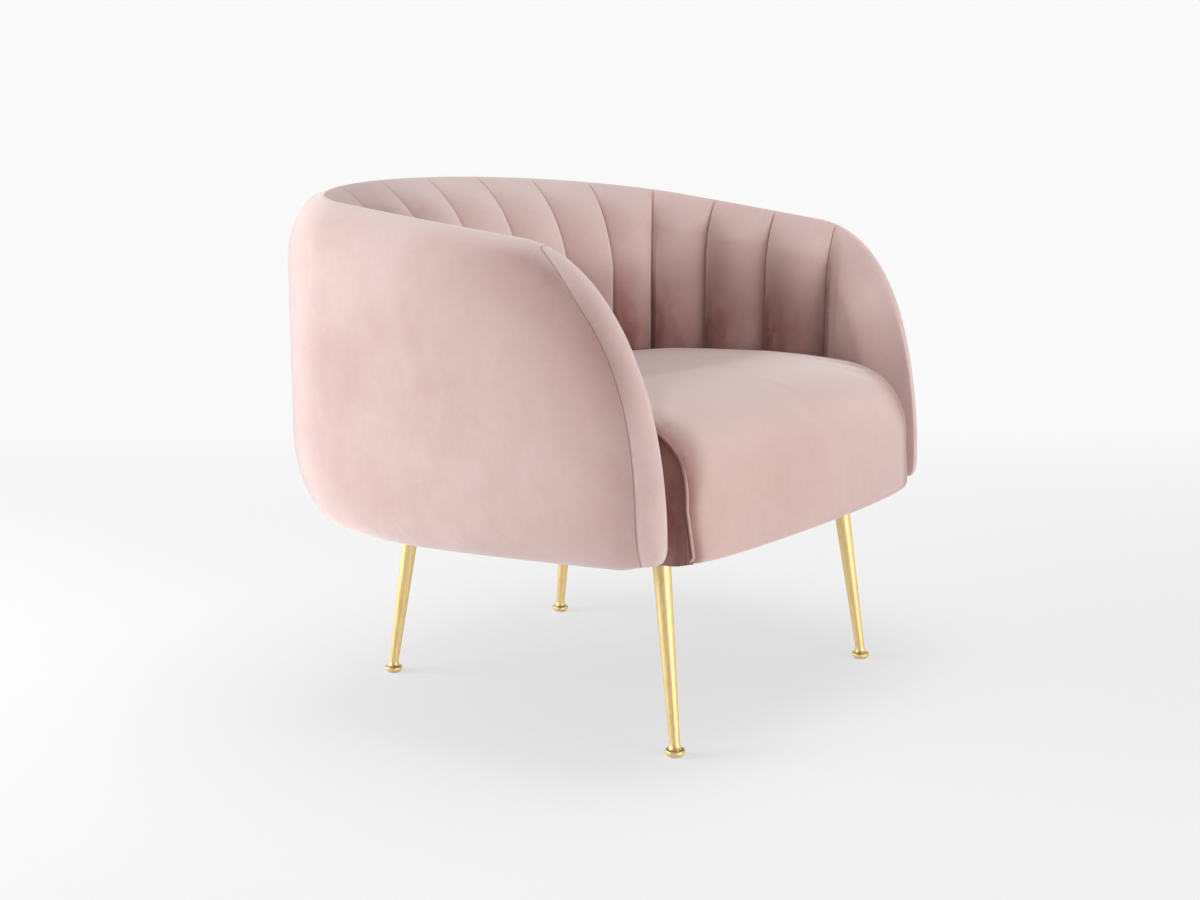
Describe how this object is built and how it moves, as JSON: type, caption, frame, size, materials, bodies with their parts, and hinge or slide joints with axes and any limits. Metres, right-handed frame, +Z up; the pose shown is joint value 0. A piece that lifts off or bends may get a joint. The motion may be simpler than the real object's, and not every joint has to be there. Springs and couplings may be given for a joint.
{
  "type": "scallop back tub chair",
  "caption": "Upholstered tub armchair in blush velvet with a low curved back of upright padded channels, a tight sprung seat and slim tapered brass legs.",
  "frame": {"origin": "on the floor, under the middle of the chair's overall width and depth", "axes": "+Z up, -Y is the chair's open front, +X to the right of someone facing the chair"},
  "size_m": [0.8836, 0.7, 0.718],
  "materials": {
    "cover_velvet": "blush velvet",
    "seat_velvet": "blush velvet",
    "seat_foam": "open cell foam",
    "plywood": "unfinished birch plywood",
    "timber": "unfinished beech",
    "webbing": "elastic webbing",
    "dust_lining": "black non-woven lining",
    "leg_brass": "satin",
    "plate_steel": "satin",
    "pad_nylon": "matte"
  },
  "bodies": {
    "root": {"outer_cover": "cover_velvet", "rim_roll": "cover_velvet", "arm_front_panel_right": "cover_velvet", "arm_front_panel_left": "cover_velvet", "channel_01": "cover_velvet", "channel_02": "cover_velvet", "channel_03": "cover_velvet", "channel_04": "cover_velvet", "channel_05": "cover_velvet", "channel_06": "cover_velvet", "channel_07": "cover_velvet", "channel_08": "cover_velvet", "channel_09": "cover_velvet", "channel_10": "cover_velvet", "channel_11": "cover_velvet", "channel_12": "cover_velvet", "channel_13": "cover_velvet", "seat_pad": "seat_velvet", "seat_boxing_right": "seat_velvet", "seat_boxing_left": "seat_velvet", "seat_foam": "seat_foam", "inner_back_shell": "plywood", "base_ring": "plywood", "top_rail": "timber", "back_post_left": "timber", "back_post_right": "timber", "arm_post_left": "timber", "arm_post_right": "timber", "front_rail": "timber", "back_rail": "timber", "side_rail_left": "timber", "side_rail_right": "timber", "corner_block_front_left": "timber", "corner_block_front_right": "timber", "corner_block_rear_left": "timber", "corner_block_rear_right": "timber", "webbing_1": "webbing", "webbing_2": "webbing", "webbing_3": "webbing", "dust_cover": "dust_lining", "leg_front_left": "leg_brass", "foot_disc_front_left": "leg_brass", "leg_front_right": "leg_brass", "foot_disc_front_right": "leg_brass", "leg_rear_left": "leg_brass", "foot_disc_rear_left": "leg_brass", "leg_rear_right": "leg_brass", "foot_disc_rear_right": "leg_brass", "leg_plate_front_left": "plate_steel", "leg_stud_front_left": "plate_steel", "leg_plate_front_right": "plate_steel", "leg_stud_front_right": "plate_steel", "leg_plate_rear_left": "plate_steel", "leg_stud_rear_left": "plate_steel", "leg_plate_rear_right": "plate_steel", "leg_stud_rear_right": "plate_steel", "floor_pad_front_left": "pad_nylon", "floor_pad_front_right": "pad_nylon", "floor_pad_rear_left": "pad_nylon", "floor_pad_rear_right": "pad_nylon"}
  },
  "joints": []
}
